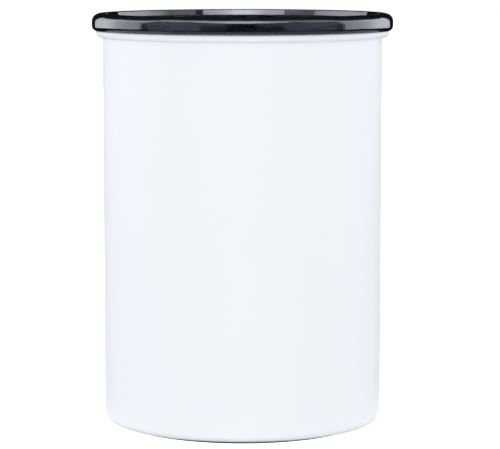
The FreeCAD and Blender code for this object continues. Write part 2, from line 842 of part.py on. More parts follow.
def make_valve_spring():
    """Coil spring between the pocket in the housing and the head of the stem, wound of quarter-turn arcs."""
    wire = size.spring_wire.number
    coil_radius = ((size.spring_diameter - size.spring_wire) / 2).number
    low = (size.pocket_floor + size.spring_gap + size.spring_wire / 2).number
    high = (size.head_rise - size.spring_gap - size.spring_wire / 2).number
    arc_count = SPRING_TURNS * ARCS_PER_TURN

    def on_coil(arcs_along):
        share = arcs_along / arc_count
        angle = FULL_TURN * SPRING_TURNS * share
        return Vector(coil_radius * math.cos(angle), coil_radius * math.sin(angle), low + (high - low) * share)

    arcs = [
        Part.Arc(on_coil(index), on_coil(index + 0.5), on_coil(index + 1)).toShape() for index in range(arc_count)
    ]
    path = Part.Wire(arcs)
    direction = arcs[0].tangentAt(arcs[0].FirstParameter)
    section = Part.Wire([Part.Circle(on_coil(0), direction, wire / 2).toShape()])
    sweep = Part.BRepOffsetAPI.MakePipeShell(path)
    sweep.add(section)
    sweep.build()
    sweep.makeSolid()
    coil = sweep.shape()
    print_spring_gap(path, wire, arc_count)
    return plain_feature("valve_spring", coil, size.plunger_level)


def print_spring_gap(path, wire, arc_count):
    """Prints the least room between the spring's turns, measured on points half a turn or more apart."""
    points = path.discretize(Number=arc_count * ARCS_PER_TURN + 1)
    half_turn = ARCS_PER_TURN * ARCS_PER_TURN // 2
    apart = [
        point.distanceToPoint(other)
        for index, point in enumerate(points)
        for other in points[index + half_turn:]
    ]
    print(f"valve_spring: least gap between turns {min(apart) - wire:.2f} mm")


# Handle


def make_handle_loop():
    """Bail handle, folded flat: two arms with eyes for the axle, and a grip across their ends."""
    body = new_body("handle_loop", size.hinge_level)
    outer_turn = size.arm_outer - size.handle_corner
    inner_corner = size.handle_corner - size.arm_width
    inner_turn = size.arm_inner - inner_corner
    corner_y = size.handle_corner - size.handle_reach
    grip_y = size.grip_width - size.handle_reach
    loop = outline(body, "XY_Plane", [
        (-size.arm_outer, 0),
        (-size.arm_outer, corner_y, size.handle_corner, "left"),
        (-outer_turn, -size.handle_reach),
        (outer_turn, -size.handle_reach, size.handle_corner, "left"),
        (size.arm_outer, corner_y),
        (size.arm_outer, 0),
        (size.arm_inner, 0),
        (size.arm_inner, grip_y + inner_corner, inner_corner, "right"),
        (inner_turn, grip_y),
        (-inner_turn, grip_y, inner_corner, "right"),
        (-size.arm_inner, grip_y + inner_corner),
        (-size.arm_inner, 0),
    ])
    bail = pad(body, loop, size.handle_thickness, midplane=True)
    round_edges(body, bail, size.handle_round, lambda edge: edge.BoundBox.ZLength < edge.BoundBox.DiagonalLength / 2)
    eye = circle(body, "YZ_Plane", 0, 0, size.axle_radius + size.eye_wall, size.arm_inner)
    repeat_across(body, pad(body, eye, size.arm_width))
    bore = circle(body, "YZ_Plane", 0, 0, size.axle_radius + size.eye_fit)
    pocket(body, bore, 2 * (size.arm_outer + size.cut_overrun), midplane=True)
    return body


def make_handle_axle():
    """Steel axle through both arms, both bushes and the cam."""
    body = new_body("handle_axle", size.hinge_level)
    end = size.arm_outer - size.axle_inset
    chamfered = size.axle_radius - size.axle_chamfer
    revolve(body, [
        (0, -end),
        (chamfered, -end),
        (size.axle_radius, size.axle_chamfer - end),
        (size.axle_radius, end - size.axle_chamfer),
        (chamfered, end),
        (0, end),
    ])
    body.Placement.Rotation = FreeCAD.Rotation(Vector(0, 1, 0), math.degrees(FULL_TURN / 4))
    doc.recompute()
    return body


def make_valve_cam():
    """Cam on the axle. Its working curve is an involute, so a flat head sinks evenly as the handle turns.

    The distance from the axle to the head grows by the same amount for each degree. The rest of the curve leads
    smoothly back to the start.
    """
    base = size.cam_base.number
    slope = size.valve_travel.number / HANDLE_SWING
    lead = CAM_LEAD_SHARE * HANDLE_SWING
    rise = HANDLE_SWING + 2 * lead
    back = FULL_TURN - rise
    low = base - slope * lead
    high = low + slope * rise

    def reach(angle):
        """How far the cam reaches towards an angle past its start, and how fast that grows."""
        if angle <= rise:
            return low + slope * angle, slope
        share = (angle - rise) / back
        fall = share**2 * (3 - 2 * share)
        bend = share * (1 - share) * (1 - 2 * share)
        distance = high + (low - high) * fall + slope * back * bend
        growth = (low - high) * 6 * share * (1 - share) / back + slope * (1 - 6 * share + 6 * share**2)
        return distance, growth

    points = []
    for index in range(CAM_POINT_COUNT):
        angle = FULL_TURN * index / CAM_POINT_COUNT
        distance, growth = reach(angle)
        outward = Vector(0, math.sin(angle - lead), -math.cos(angle - lead))
        along = Vector(0, math.cos(angle - lead), math.sin(angle - lead))
        points.append(outward * distance + along * growth)
    curve = Part.BSplineCurve()
    curve.interpolate(Points=points, PeriodicFlag=True)
    half = (size.cam_width / 2).number
    face = Part.Face(Part.Wire([curve.toShape()])).translated(Vector(-half, 0, 0))
    bore = (size.axle_radius + size.eye_fit).number
    hole = Part.makeCylinder(bore, size.cam_width.number, Vector(-half, 0, 0), Vector(1, 0, 0))
    cam = face.extrude(Vector(size.cam_width.number, 0, 0)).cut(hole)
    return plain_feature("valve_cam", cam.Solids[0], size.hinge_level)


def check_document(parts):
    """Stops the build where a feature has failed or a sub-part isn't whole."""
    for item in doc.Objects:
        if "Invalid" in item.State or "Error" in item.State:
            raise RuntimeError(f"{item.Label} is {item.State}")
    for part in parts:
        if part.Shape.isNull() or not part.Shape.isValid():
            raise RuntimeError(f"{part.Label} has no valid shape")


def main():
    makers = [
        make_canister_shell,
        make_base_pan,
        make_outer_lid,
        make_plunger_dish,
        make_wiper_seal,
        make_vent_cover,
        make_cover_screws,
        make_valve_guard,
        make_axle_bushes,
        make_valve_stem,
        make_valve_disc,
        make_disc_washer,
        make_stem_clip,
        make_valve_spring,
        make_handle_loop,
        make_handle_axle,
        make_valve_cam,
    ]
    parts = [make() for make in makers]
    doc.recompute()
    check_document(parts)
    os.makedirs("parts", exist_ok=True)
    for part in parts:
        part.Shape.exportStep(f"parts/{part.Label}.step")
        print(f"{part.Label}: {len(part.Shape.Solids)} solid(s), {part.Shape.Volume / 1000:.2f} cm3")


main()
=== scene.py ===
# %% [markdown]
# # A coffee canister with a valve in its press-down lid
# A steel can, painted white outside and left bare inside, stands under a low, smoke-tinted lid. Inside it
# slides a black plunger with a lip seal, and raising the plunger's handle opens an air valve. The packed
# solids are the fixed frame of this lesson: they keep their places, and the lesson gives every surface its
# finish. Round pieces whose finish shows each facet are turned again here as finer meshes.

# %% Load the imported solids
import math

import bmesh
import bpy
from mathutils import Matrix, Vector


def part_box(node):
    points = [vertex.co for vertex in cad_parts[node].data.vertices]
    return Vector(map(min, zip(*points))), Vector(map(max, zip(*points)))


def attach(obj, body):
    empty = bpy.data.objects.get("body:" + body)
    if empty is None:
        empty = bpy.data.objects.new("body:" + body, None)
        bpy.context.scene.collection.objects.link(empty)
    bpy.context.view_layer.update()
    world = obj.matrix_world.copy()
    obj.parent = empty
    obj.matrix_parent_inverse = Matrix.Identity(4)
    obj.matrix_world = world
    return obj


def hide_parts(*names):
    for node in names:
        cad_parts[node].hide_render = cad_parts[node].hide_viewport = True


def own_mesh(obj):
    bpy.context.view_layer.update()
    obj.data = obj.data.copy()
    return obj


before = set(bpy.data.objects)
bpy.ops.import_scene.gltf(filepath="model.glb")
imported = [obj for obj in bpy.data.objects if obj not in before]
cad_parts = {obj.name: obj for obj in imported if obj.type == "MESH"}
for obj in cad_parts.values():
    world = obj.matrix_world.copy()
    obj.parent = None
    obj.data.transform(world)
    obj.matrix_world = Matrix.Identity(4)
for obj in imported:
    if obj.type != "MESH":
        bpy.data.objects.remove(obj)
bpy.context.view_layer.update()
MM = 0.001
FULL_TURN = 2 * math.pi


# %% [markdown]
# ## The camera
# The photograph looks slightly down on the can from about a metre away through a long lens. Its place was
# found by laying the can's known outlines over the picture, so the lens is written here in picture pixels,
# and the small shift puts the lens axis where the picture has it.

# %% Camera
PICTURE_WIDTH = 500
PICTURE_HEIGHT = 449
LENS_IN_PIXELS = 2329.8
LENS_AXIS_PIXEL = (242.5, 232.0)
SENSOR_WIDTH = 36.0
VIEW_LIMIT = 50.0
CAMERA_DISTANCE = 1.0098
CAMERA_HEIGHT = 0.2066
CAMERA_TILT_DOWN = math.radians(7.077)

axis_across, axis_down = LENS_AXIS_PIXEL
camera_data = bpy.data.cameras.new("picture_camera")
camera_data.sensor_width = SENSOR_WIDTH
camera_data.lens = LENS_IN_PIXELS * SENSOR_WIDTH / PICTURE_WIDTH
camera_data.shift_x = (PICTURE_WIDTH / 2 - axis_across) / PICTURE_WIDTH
camera_data.shift_y = (axis_down - PICTURE_HEIGHT / 2) / PICTURE_WIDTH
camera_data.clip_end = VIEW_LIMIT
camera = bpy.data.objects.new("picture_camera", camera_data)
camera.location = (0, -CAMERA_DISTANCE, CAMERA_HEIGHT)
camera.rotation_euler = (math.pi / 2 - CAMERA_TILT_DOWN, 0, 0)
bpy.context.scene.collection.objects.link(camera)
bpy.context.scene.camera = camera
bpy.context.scene.view_settings.view_transform = "Standard"
print("lens in mm:", round(camera_data.lens, 1))

# %% [markdown]
# ## Turning round pieces
# The can, its pan, the lid and the seals are bodies of revolution, so each is described by the corners of
# its section, as on a drawing: radius, height and, where the edge is rounded, the size of the round. A
# lathe helper rounds the corners and sweeps the section round the axis. Writing corners instead of long
# lists of points keeps the section readable, and a round can be changed in one place.

# %% Section corners to points
ROUND_STEPS = 10


def rounded_section(corners):
    """Points of a closed section in mm, as one list for each corner. A corner is (radius, height) or
    (radius, height, round)."""
    points_of_corners = []
    count = len(corners)
    for index, corner in enumerate(corners):
        here = Vector(corner[:2])
        size_of_round = corner[2] if len(corner) > 2 else 0
        if size_of_round == 0:
            points_of_corners.append([here])
            continue
        back = (Vector(corners[index - 1][:2]) - here).normalized()
        ahead = (Vector(corners[(index + 1) % count][:2]) - here).normalized()
        half_angle = back.angle(ahead) / 2
        middle = here + (back + ahead).normalized() * (size_of_round / math.sin(half_angle))
        first = here + back * (size_of_round / math.tan(half_angle)) - middle
        sweep = math.pi - 2 * half_angle
        turn = 1 if back.x * ahead.y - back.y * ahead.x < 0 else -1
        points = []
        for step in range(ROUND_STEPS + 1):
            angle = turn * sweep * step / ROUND_STEPS
            cosine, sine = math.cos(angle), math.sin(angle)
            across = first.x * cosine - first.y * sine
            along = first.x * sine + first.y * cosine
            points.append(middle + Vector((across, along)))
        points_of_corners.append(points)
    return points_of_corners


plain_corner, rounded_corner = rounded_section([(0, 0), (10, 0, 3), (10, 10)])[:2]
print("points of a plain corner:", len(plain_corner), "and of a rounded one:", len(rounded_corner))

# %% [markdown]
# Every mesh of this lesson is built from rows of points with faces between neighbouring rows. Three small
# helpers do that: one lays a ring of points, one joins two rows, and one turns the finished mesh into an
# object. Its faces are smooth, edges that turn by more than a small angle stay crisp, and weighted normals
# keep flat faces flat right up to a round.

# %% Mesh helpers
SAME_PLACE = 1e-7
SHARP_EDGE = math.radians(16)


def ring_of_points(mesh, radius, height, steps):
    """A level ring of new points round the can's axis, in metres."""
    angles = [FULL_TURN * step / steps for step in range(steps)]
    return [mesh.verts.new((radius * math.cos(a), radius * math.sin(a), height)) for a in angles]


def join_rows(mesh, row, following, closed):
    """New faces between two rows of points. A closed row joins its last point to its first."""
    count = len(row)
    faces = []
    for step in range(count if closed else count - 1):
        beside = (step + 1) % count
        loop = dict.fromkeys([row[step], row[beside], following[beside], following[step]])
        if len(loop) > 2:
            faces.append(mesh.faces.new(list(loop)))
    return faces


def finished_piece(name, mesh, finishes):
    """An object from built mesh data, with smooth faces and crisp edges, in its finishes."""
    data = bpy.data.meshes.new(name)
    mesh.to_mesh(data)
    mesh.free()
    data.shade_smooth()
    data.set_sharp_from_angle(angle=SHARP_EDGE)
    for finish in finishes:
        data.materials.append(finish)
    piece = bpy.data.objects.new(name, data)
    bpy.context.scene.collection.objects.link(piece)
    flat_faces = piece.modifiers.new("flat_faces_stay_flat", "WEIGHTED_NORMAL")
    flat_faces.keep_sharp = True
    print(name, "faces:", len(data.polygons))
    return piece


print("edges stay crisp above, in degrees:", round(math.degrees(SHARP_EDGE)))

# %% Lathe
TURN_STEPS = 240


def turned(name, runs, finishes):
    """A mesh turned round the can's axis from runs of section corners. Each run has the finish at its place
    in the list, and a face takes the finish of the run that its later corner is in."""
    corners = [corner for run in runs for corner in run]
    run_of_corner = [index for index, run in enumerate(runs) for corner in run]
    mesh = bmesh.new()
    rings = []
    run_of_ring = []
    for points, run in zip(rounded_section(corners), run_of_corner):
        for point in points:
            radius, height = point * MM
            if radius < SAME_PLACE:
                rings.append([mesh.verts.new((0, 0, height))] * TURN_STEPS)
            else:
                rings.append(ring_of_points(mesh, radius, height, TURN_STEPS))
            run_of_ring.append(run)
    for index, ring in enumerate(rings):
        following = (index + 1) % len(rings)
        for face in join_rows(mesh, ring, rings[following], closed=True):
            face.material_index = run_of_ring[following]
    bmesh.ops.remove_doubles(mesh, verts=mesh.verts, dist=SAME_PLACE)
    bmesh.ops.recalc_face_normals(mesh, faces=mesh.faces)
    return finished_piece(name, mesh, finishes)


print("lathe steps to a turn:", TURN_STEPS)

# %% [markdown]
# ## Effects that several finishes share
# Paint, moulded plastic and silicone all have a fine grain with a slow mottle over it, and bare metal has
# lines from brushing. Each effect is a node group, built once, with the sizes of its marks as inputs. The
# groups only give out values, which each material then sends to colour, roughness and bump. Object
# coordinates keep the marks fixed to the piece when it moves.

# %% Node group helpers
def new_group(name, inputs, outputs):
    """An empty shader node group with number sockets: inputs with their defaults, and outputs."""
    group = bpy.data.node_groups.new(name, "ShaderNodeTree")
    for socket_name, default in inputs.items():
        socket = group.interface.new_socket(name=socket_name, in_out="INPUT", socket_type="NodeSocketFloat")
        socket.default_value = default
    for socket_name in outputs:
        group.interface.new_socket(name=socket_name, in_out="OUTPUT", socket_type="NodeSocketFloat")
    return group


def set_or_link(tree, socket, value):
    """Gives a socket a number, or links it to another socket."""
    if isinstance(value, (int, float)):
        socket.default_value = value
    else:
        tree.links.new(value, socket)


def add_math(tree, operation, *values):
    """A math node on numbers or sockets; returns its result socket."""
    node = tree.nodes.new("ShaderNodeMath")
    node.operation = operation
    for socket, value in zip(node.inputs, values):
        set_or_link(tree, socket, value)
    return node.outputs[0]


def add_noise(tree, vector, scale, detail):
    """A noise texture on a vector socket; returns its value socket. The scale is a number or a socket."""
    node = tree.nodes.new("ShaderNodeTexNoise")
    node.inputs["Detail"].default_value = detail
    tree.links.new(vector, node.inputs["Vector"])
    set_or_link(tree, node.inputs["Scale"], scale)
    return node.outputs[0]


def place_axes(tree):
    """The three axes of the place on the object, as sockets."""
    axes = tree.nodes.new("ShaderNodeSeparateXYZ")
    tree.links.new(tree.nodes.new("ShaderNodeTexCoord").outputs["Object"], axes.inputs[0])
    return axes.outputs


def square_of_reach(tree, across_x, across_y):
    """The square of the distance from the object's upright axis."""
    y_squared = add_math(tree, "MULTIPLY", across_y, across_y)
    return add_math(tree, "MULTIPLY_ADD", across_x, across_x, y_squared)


print("node groups so far:", len(bpy.data.node_groups))

# %% Grain: a fine texture with a slow mottle, for paint, plastic and silicone
NOISE_MIDDLE = 0.5
GRAIN_DETAIL = 3.0
MOTTLE_DETAIL = 4.0

grain_group = new_group(
    "grain",
    {"Grain mm": 0.5, "Mottle mm": 20.0, "Roughness": 0.5, "Roughness spread": 0.1},
    ["Height", "Mottle", "Roughness"],
)
grain_in = grain_group.nodes.new("NodeGroupInput").outputs
grain_out = grain_group.nodes.new("NodeGroupOutput").inputs
grain_place = grain_group.nodes.new("ShaderNodeTexCoord").outputs["Object"]
grain_scale = add_math(grain_group, "DIVIDE", 1 / MM, grain_in["Grain mm"])
mottle_scale = add_math(grain_group, "DIVIDE", 1 / MM, grain_in["Mottle mm"])
grain_height = add_noise(grain_group, grain_place, scale=grain_scale, detail=GRAIN_DETAIL)
mottle = add_noise(grain_group, grain_place, scale=mottle_scale, detail=MOTTLE_DETAIL)
mottle_offset = add_math(grain_group, "SUBTRACT", mottle, NOISE_MIDDLE)
grain_roughness = add_math(
    grain_group, "MULTIPLY_ADD", mottle_offset, grain_in["Roughness spread"], grain_in["Roughness"]
)
grain_group.links.new(grain_height, grain_out["Height"])
grain_group.links.new(mottle, grain_out["Mottle"])
grain_group.links.new(grain_roughness, grain_out["Roughness"])
print("grain group nodes:", len(grain_group.nodes))

# %% Brushing: fine lines round the axis, for bare metal
STREAK_DETAIL = 3.0

brushing_group = new_group(
    "brushing",
    {"Line mm": 0.15, "Roughness": 0.3, "Roughness spread": 0.15},
    ["Height", "Streak", "Roughness"],
)
brushing_in = brushing_group.nodes.new("NodeGroupInput").outputs
brushing_out = brushing_group.nodes.new("NodeGroupOutput").inputs
across_x, across_y, along_z = place_axes(brushing_group)
angle_round = add_math(brushing_group, "ARCTAN2", across_y, across_x)
reach = add_math(brushing_group, "SQRT", square_of_reach(brushing_group, across_x, across_y))
way_along = add_math(brushing_group, "ADD", reach, along_z)
line_scale = add_math(brushing_group, "DIVIDE", 1 / MM, brushing_in["Line mm"])
line_place = add_math(brushing_group, "MULTIPLY", way_along, line_scale)
brushing_vector = brushing_group.nodes.new("ShaderNodeCombineXYZ")
brushing_group.links.new(line_place, brushing_vector.inputs["X"])
brushing_group.links.new(angle_round, brushing_vector.inputs["Y"])
streak = add_noise(brushing_group, brushing_vector.outputs[0], scale=1.0, detail=STREAK_DETAIL)
streak_offset = add_math(brushing_group, "SUBTRACT", streak, NOISE_MIDDLE)
brushing_roughness = add_math(
    brushing_group, "MULTIPLY_ADD", streak_offset, brushing_in["Roughness spread"], brushing_in["Roughness"]
)
brushing_group.links.new(streak, brushing_out["Height"])
brushing_group.links.new(streak, brushing_out["Streak"])
brushing_group.links.new(brushing_roughness, brushing_out["Roughness"])
print("brushing group nodes:", len(brushing_group.nodes))

# %% Finish helpers
def new_finish(name):
    """A material with its Principled shader; returns the material, its node tree and the shader."""
    finish = bpy.data.materials.new(name)
    finish.use_nodes = True
    tree = finish.node_tree
    return finish, tree, tree.nodes["Principled BSDF"]


def place_group(tree, group, **values):
    """Puts a shared effect into a material with this finish's own values; returns the group node."""
    node = tree.nodes.new("ShaderNodeGroup")
    node.node_tree = group
    for socket_name, value in values.items():
        node.inputs[socket_name.replace("_", " ")].default_value = value
    return node


def mixed_colour(tree, mask, first, second):
    """A colour socket that runs from the first colour to the second with a mask."""
    mix = tree.nodes.new("ShaderNodeMix")
    mix.data_type = "RGBA"
    tree.links.new(mask, mix.inputs["Factor"])
    mix.inputs["A"].default_value = (*first, 1)
    mix.inputs["B"].default_value = (*second, 1)
    return mix.outputs["Result"]


def add_bump(tree, height, depth_mm, shader):
    """Bump from a height between 0 and 1, with the real depth of the marks."""
    bump = tree.nodes.new("ShaderNodeBump")
    bump.inputs["Strength"].default_value = 1.0
    bump.inputs["Distance"].default_value = depth_mm * MM
    tree.links.new(height, bump.inputs["Height"])
    tree.links.new(bump.outputs["Normal"], shader.inputs["Normal"])


print("effects to place in a finish:", grain_group.name, "and", brushing_group.name)

# %% [markdown]
# ## The finishes
# The can's paint is a matte powder coat: a cool white with the faint orange peel of melted powder. The
# black parts are moulded, the body with a spark-eroded texture and the handle polished. The silicone is a
# soft mid grey, and the small steel parts are left bright. Each finish is one call with its own colours
# and sizes, so two finishes can be compared line by line.

# %% Paint, plastics and silicone
def grained_finish(name, dark, light, grain_mm, mottle_mm, roughness, spread, depth_mm):
    """Paint, plastic or silicone: a grain in the bump, and the mottle in colour and roughness."""
    finish, tree, shader = new_finish(name)
    grain = place_group(
        tree, grain_group,
        Grain_mm=grain_mm, Mottle_mm=mottle_mm, Roughness=roughness, Roughness_spread=spread,
    )
    tree.links.new(mixed_colour(tree, grain.outputs["Mottle"], dark, light), shader.inputs["Base Color"])
    tree.links.new(grain.outputs["Roughness"], shader.inputs["Roughness"])
    add_bump(tree, grain.outputs["Height"], depth_mm, shader)
    print(name, "nodes:", len(tree.nodes))
    return finish


white_powder_coat = grained_finish(
    "white_powder_coat", dark=(0.868, 0.889, 0.930), light=(0.884, 0.904, 0.944),
    grain_mm=1.1, mottle_mm=35, roughness=0.5, spread=0.12, depth_mm=0.012,
)
black_moulded_plastic = grained_finish(
    "black_moulded_plastic", dark=(0.022, 0.022, 0.024), light=(0.034, 0.034, 0.036),
    grain_mm=0.25, mottle_mm=14, roughness=0.48, spread=0.16, depth_mm=0.02,
)
black_gloss_plastic = grained_finish(
    "black_gloss_plastic", dark=(0.019, 0.019, 0.021), light=(0.027, 0.027, 0.029),
    grain_mm=2.0, mottle_mm=9, roughness=0.16, spread=0.14, depth_mm=0.003,
)
grey_silicone = grained_finish(
    "grey_silicone", dark=(0.32, 0.33, 0.34), light=(0.39, 0.40, 0.41),
    grain_mm=0.3, mottle_mm=8, roughness=0.62, spread=0.15, depth_mm=0.01,
)
white_acetal = grained_finish(
    "white_acetal", dark=(0.80, 0.79, 0.75), light=(0.86, 0.85, 0.81),
    grain_mm=0.4, mottle_mm=6, roughness=0.34, spread=0.12, depth_mm=0.004,
)

# %% [markdown]
# The bore of the can and its pan are brushed steel. Brushing leaves fine lines round the axis, and such
# lines draw every glint out across themselves. A bump alone can't show that, because the lines are finer
# than a pixel, so the shader is told which way they run and how far to stretch the glints.

# %% Steel
GLINT_STRETCH = 0.88
QUARTER_TURN = 0.25


def brushed_finish(name, dark, light, line_mm, roughness, spread, depth_mm):
    """Bare metal with lines from brushing or turning."""
    finish, tree, shader = new_finish(name)
    shader.inputs["Metallic"].default_value = 1.0
    lines = place_group(tree, brushing_group, Line_mm=line_mm, Roughness=roughness, Roughness_spread=spread)
    tree.links.new(mixed_colour(tree, lines.outputs["Streak"], dark, light), shader.inputs["Base Color"])
    tree.links.new(lines.outputs["Roughness"], shader.inputs["Roughness"])
    add_bump(tree, lines.outputs["Height"], depth_mm, shader)
    print(name, "nodes:", len(tree.nodes))
    return finish


bare_steel = brushed_finish(
    "bare_steel", dark=(0.54, 0.53, 0.52), light=(0.72, 0.71, 0.70),
    line_mm=0.22, roughness=0.46, spread=0.2, depth_mm=0.004,
)
bare_tree = bare_steel.node_tree
bare_shader = bare_tree.nodes["Principled BSDF"]
bare_shader.inputs["Anisotropic"].default_value = GLINT_STRETCH
bare_shader.inputs["Anisotropic Rotation"].default_value = QUARTER_TURN
round_axis = bare_tree.nodes.new("ShaderNodeTangent")
round_axis.direction_type = "RADIAL"
round_axis.axis = "Z"
bare_tree.links.new(round_axis.outputs[0], bare_shader.inputs["Tangent"])
print("bare_steel nodes with its tangent:", len(bare_tree.nodes))
bright_steel = brushed_finish(
    "bright_steel", dark=(0.60, 0.60, 0.59), light=(0.76, 0.76, 0.75),
    line_mm=0.12, roughness=0.2, spread=0.14, depth_mm=0.002,
)

# %% [markdown]
# ## Smoke-tinted plastic
# The lid is clear plastic with a grey dye. A flat transparency would look like film. Here the surface
# refracts like real plastic, and a volume absorbs light along the way, so the thick rim turns nearly black
# while the thin panel still lets a little light through.

# %% Smoke-tinted plastic
SMOKE_SURFACE = (0.92, 0.94, 0.97, 1)
SMOKE_IOR = 1.57
SMOKE_DYE = (0.40, 0.44, 0.49, 1)
SMOKE_DENSITY = 2200.0

smoke_tinted_plastic, smoke_tree, smoke_shader = new_finish("smoke_tinted_plastic")
smoke_shader.inputs["Base Color"].default_value = SMOKE_SURFACE
smoke_shader.inputs["Transmission Weight"].default_value = 1.0
smoke_shader.inputs["IOR"].default_value = SMOKE_IOR
smoke_grain = place_group(
    smoke_tree, grain_group, Grain_mm=0.8, Mottle_mm=12, Roughness=0.035, Roughness_spread=0.04
)
smoke_volume = smoke_tree.nodes.new("ShaderNodeVolumeAbsorption")
smoke_volume.inputs["Color"].default_value = SMOKE_DYE
smoke_volume.inputs["Density"].default_value = SMOKE_DENSITY
smoke_tree.links.new(smoke_volume.outputs[0], smoke_tree.nodes["Material Output"].inputs["Volume"])
print("smoke dye density per metre:", SMOKE_DENSITY)

# %% [markdown]
# ## The can
# The wall is one sheet. At the top it curls outward into a bead, and at the bottom it turns in to a foot.
# Paint covers the outside and the bead, and the bore stays bare. Two runs of corners give the two finishes
# on one mesh, so the paint ends exactly at the inner edge of the bead.

# %% Can body
SHEET = 0.6
CURL_REACH = 2.9
CURL_GAP = 0.3
CURL_ROUND = 2.0
CURL_SIDE = 0.15
FOOT_ROUND = 3.0
FOOT_WIDTH = 2.5

can_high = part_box("canister_shell")[1]
rim = can_high.z / MM
curl = can_high.x / MM
wall = curl - CURL_REACH
bore = wall - SHEET
rim_round = (curl - bore) / 2
curl_floor = rim - rim_round - CURL_SIDE - CURL_ROUND
curl_end = wall + CURL_GAP
foot_edge = wall - FOOT_ROUND - FOOT_WIDTH
painted_side = [
    (foot_edge, 0),
    (wall, 0, FOOT_ROUND),
    (wall, rim - SHEET, rim_round - SHEET),
    (curl - SHEET, rim - SHEET, rim_round - SHEET),
    (curl - SHEET, curl_floor + SHEET, CURL_ROUND - SHEET),
    (curl_end, curl_floor + SHEET),
    (curl_end, curl_floor),
    (curl, curl_floor, CURL_ROUND),
    (curl, rim, rim_round),
    (bore, rim, rim_round),
]
bare_side = [(bore, SHEET, FOOT_ROUND - SHEET), (foot_edge, SHEET)]
can_body = turned("can_body", [painted_side, bare_side], [white_powder_coat, bare_steel])
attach(can_body, "canister")
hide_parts("canister_shell")

# %% [markdown]
# ## The pan
# The floor of the can is a stamped pan whose upturned edge stands in the foot. Its middle is raised for
# stiffness, and the press leaves soft bends. Both faces of the sheet are written out, one sheet apart, so
# the pan has a real thickness at its edge.

# %% Floor pan
PAN_SHEET = 0.7
PAN_CORNER = 2.35
PAN_RIM = 6.3
PAN_RISE = 2.0
PAN_SLOPE = math.radians(34)
PAN_BEND = 1.6

pan_low, pan_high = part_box("base_pan")
pan_radius = pan_high.x / MM
pan_floor = pan_low.z / MM
pan_edge = pan_high.z / MM
pan_panel = pan_floor + PAN_RISE
step_outer = wall - FOOT_ROUND - PAN_RIM
step_inner = step_outer - PAN_RISE / math.tan(PAN_SLOPE)
floor_pan = turned("floor_pan", [[
    (0, pan_panel),
    (step_inner, pan_panel, PAN_BEND),
    (step_outer, pan_floor, PAN_BEND),
    (pan_radius, pan_floor, PAN_CORNER),
    (pan_radius, pan_edge),
    (pan_radius - PAN_SHEET, pan_edge),
    (pan_radius - PAN_SHEET, pan_floor + PAN_SHEET, PAN_CORNER - PAN_SHEET),
    (step_outer, pan_floor + PAN_SHEET, PAN_BEND),
    (step_inner, pan_panel + PAN_SHEET, PAN_BEND),
    (0, pan_panel + PAN_SHEET),
]], [bare_steel])
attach(floor_pan, "canister")
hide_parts("base_pan")

# %% [markdown]
# ## The lid
# The lid is a moulded cap. A channel under its edge takes the can's bead, a low rib sits on the bead, and
# the middle is sunk so that a raised rim runs round it, with a steep bevel inside. Its outside edges are
# full rounds, which is what makes the two ends of the lid look soft in the photograph. A small gate mark
# in the middle is left by the moulding.

# %% Lid sizes
LID_WALL = 2.0
LID_CROWN = 3.4
LID_LIP = 2.5
LID_LIP_TURN = math.radians(62)
LID_SHOULDER = 0.5
LID_BEVEL = 2.4
LID_BEVEL_SLOPE = math.radians(65)
LID_ROOT = 1.5
LID_PLUG_ROUND = 1.0
LID_CHANNEL_ROUND = 1.0
LID_PLUG_GAP = 0.3
LID_SKIRT = 1.6
LID_RIB = 1.2
LID_SEAT_GAP = 0.15
LID_EDGE = 0.25
LID_COVER = 7.35
GATE_RADIUS = 2.2
GATE_DEPTH = 0.4

lid_low, lid_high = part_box("outer_lid")
lid_top = lid_high.z / MM
lid_underside = lid_low.z / MM
lid_radius = lid_high.x / MM
lid_skirt = lid_radius - LID_SKIRT
lid_edge = lid_top - LID_COVER
lid_ceiling = lid_top - LID_WALL
lid_plug = bore - LID_PLUG_GAP
lid_recess = lid_plug - LID_WALL
lid_panel = lid_underside + LID_WALL
lip_width = LID_LIP * (1 - math.cos(LID_LIP_TURN))
lip_corner = LID_LIP * (math.sin(LID_LIP_TURN) - math.tan(LID_LIP_TURN / 2))
bevel_top = lid_recess + LID_BEVEL / math.tan(LID_BEVEL_SLOPE)
rib_inner = (bore + curl) / 2 - LID_RIB / 2
print("lid across and depth of its recess in mm:", round(2 * lid_radius, 1), round(lid_top - lid_panel, 1))

# %% Smoke lid
smoke_lid = turned("smoke_lid", [[
    (0, lid_underside),
    (lid_plug, lid_underside, LID_PLUG_ROUND),
    (lid_plug, lid_ceiling, LID_EDGE),
    (rib_inner, lid_ceiling, LID_EDGE),
    (rib_inner, rim + LID_SEAT_GAP, LID_EDGE),
    (rib_inner + LID_RIB, rim + LID_SEAT_GAP, LID_EDGE),
    (rib_inner + LID_RIB, lid_ceiling),
    (lid_skirt, lid_ceiling, LID_CHANNEL_ROUND),
    (lid_skirt, lid_edge),
    (lid_radius - lip_width, lid_edge),
    (lid_radius, lid_edge + lip_corner, LID_LIP),
    (lid_radius, lid_top, LID_CROWN),
    (bevel_top, lid_top, LID_SHOULDER),
    (lid_recess, lid_top - LID_BEVEL),
    (lid_recess, lid_panel, LID_ROOT),
    (GATE_RADIUS, lid_panel, LID_EDGE),
    (GATE_RADIUS - GATE_DEPTH, lid_panel - GATE_DEPTH, LID_EDGE),
    (0, lid_panel - GATE_DEPTH),
]], [smoke_tinted_plastic])
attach(smoke_lid, "outer_lid")
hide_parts("outer_lid")

# %% [markdown]
# The rim of the lid is polished and has a hard gloss coat, and the sunken panel is left softer, as it came
# from the mould. The lid is one clear body, so it keeps one material. A mask by place, inside the bevel's
# radius and near the panel's level, makes it a little rougher there and takes the coat away.

# %% Gloss rim and softer panel
PANEL_ROUGHNESS = 0.16
PANEL_DEPTH = 0.8
COAT_IOR = 1.8
COAT_ROUGHNESS = 0.03

